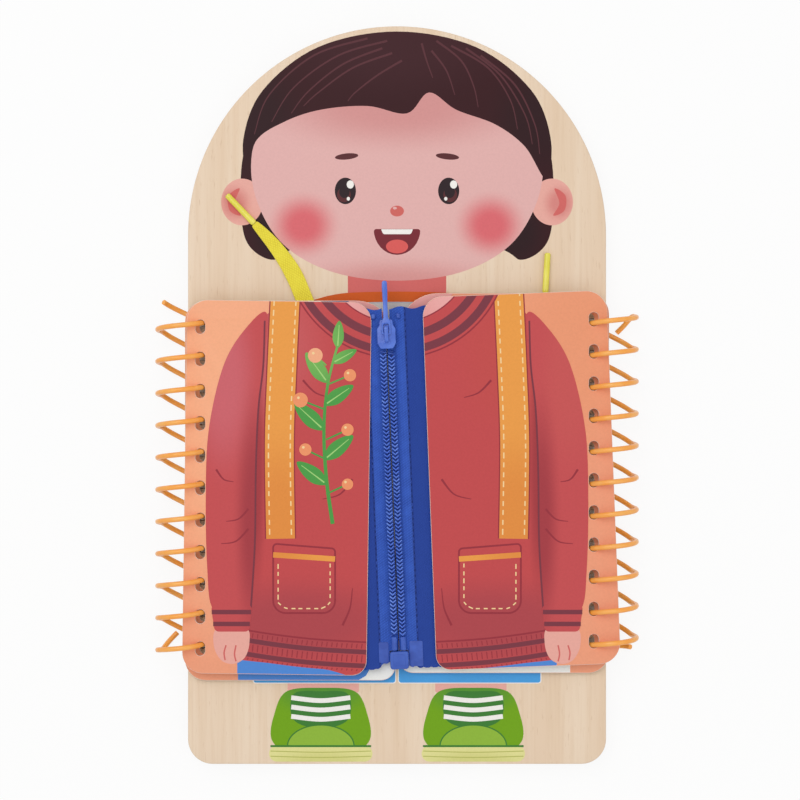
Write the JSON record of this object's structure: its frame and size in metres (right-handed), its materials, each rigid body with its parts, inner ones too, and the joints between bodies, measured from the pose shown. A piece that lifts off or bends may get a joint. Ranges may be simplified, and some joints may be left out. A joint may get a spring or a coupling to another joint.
{
  "type": "dressing skills board",
  "caption": "Flat arch-topped wooden board with two coil-bound layers of printed card leaves, closed by a zip, buttons with loops and a flat lace.",
  "frame": {"origin": "middle of the whole part's footprint, at the height of the surface that it lies on", "axes": "+Y runs along the board to its arched head end, +X to the right as the printed face is read, +Z out of the printed face"},
  "size_m": [0.1962, 0.3, 0.0211],
  "materials": {
    "board_birch": "sanded and printed birch plywood",
    "coil_wire": "glossy orange plastic-coated wire",
    "front_card": "printed card in a satin laminate",
    "shirt_card": "printed card in a satin laminate",
    "lace_weave": "flat woven yellow lace",
    "lace_tip": "clear film rolled tight on the lace's end",
    "button_resin": "polished cast resin",
    "loop_elastic": "braided round elastic",
    "zip_tape_weave": "woven polyester tape",
    "zip_nylon": "dyed nylon monofilament and moulding",
    "zip_enamel": "satin blue enamel on die-cast metal",
    "zip_film_clear": "clear stiffening film welded over the tape"
  },
  "bodies": {
    "board": {"base_board": "board_birch", "left_binding_coil": "coil_wire", "right_binding_coil": "coil_wire", "lace_free_end_left": "lace_weave", "lace_free_end_right": "lace_weave", "lace_run_left": "lace_weave", "lace_run_right": "lace_weave", "lace_front_bar": "lace_weave", "lace_aglet_left": "lace_tip", "lace_aglet_right": "lace_tip"},
    "left_second_leaf": {"second_left_leaf": "shirt_card", "button_loop_1": "loop_elastic", "button_loop_2": "loop_elastic", "button_loop_3": "loop_elastic", "button_loop_4": "loop_elastic"},
    "right_second_leaf": {"second_right_leaf": "shirt_card", "shirt_button_1": "button_resin", "shirt_button_2": "button_resin", "shirt_button_3": "button_resin", "shirt_button_4": "button_resin"},
    "left_front_leaf": {"front_left_leaf": "front_card", "zip_tape_left": "zip_tape_weave", "zip_chain_left": "zip_nylon", "zip_top_stop_left": "zip_nylon", "zip_insertion_pin": "zip_nylon", "zip_film_left": "zip_film_clear"},
    "right_front_leaf": {"front_right_leaf": "front_card", "zip_tape_right": "zip_tape_weave", "zip_chain_right": "zip_nylon", "zip_top_stop_right": "zip_nylon", "zip_retaining_pin": "zip_nylon", "zip_retaining_box": "zip_nylon", "zip_film_right": "zip_film_clear"},
    "slider": {"zip_slider": "zip_enamel"},
    "pull": {"zip_pull": "zip_enamel"}
  },
  "joints": [
    {"name": "left_second_leaf_turn", "type": "hinge", "parent": "board", "child": "left_second_leaf", "pos_m": [-0.0875, -0.0374, 0.01044], "axis": [0, -1, 0], "range_deg": [0, 170]},
    {"name": "right_second_leaf_turn", "type": "hinge", "parent": "board", "child": "right_second_leaf", "pos_m": [0.0875, -0.0344, 0.01044], "axis": [0, 1, 0], "range_deg": [0, 170]},
    {"name": "left_front_leaf_turn", "type": "hinge", "parent": "left_second_leaf", "child": "left_front_leaf", "pos_m": [-0.0875, -0.0374, 0.01044], "axis": [0, 1, 0], "range_deg": [-170, 0]},
    {"name": "right_front_leaf_turn", "type": "hinge", "parent": "right_second_leaf", "child": "right_front_leaf", "pos_m": [0.0875, -0.0344, 0.01044], "axis": [0, -1, 0], "range_deg": [-170, 0]},
    {"name": "zip_slider_slide", "type": "slide", "parent": "right_front_leaf", "child": "slider", "axis": [0.0401, -0.9992, 0], "range_m": [0, 0.1218]},
    {"name": "zip_pull_turn", "type": "hinge", "parent": "slider", "child": "pull", "pos_m": [-0.00429, 0.02455, 0.019], "axis": [0.9992, 0.0401, 0], "range_deg": [0, 180]}
  ]
}
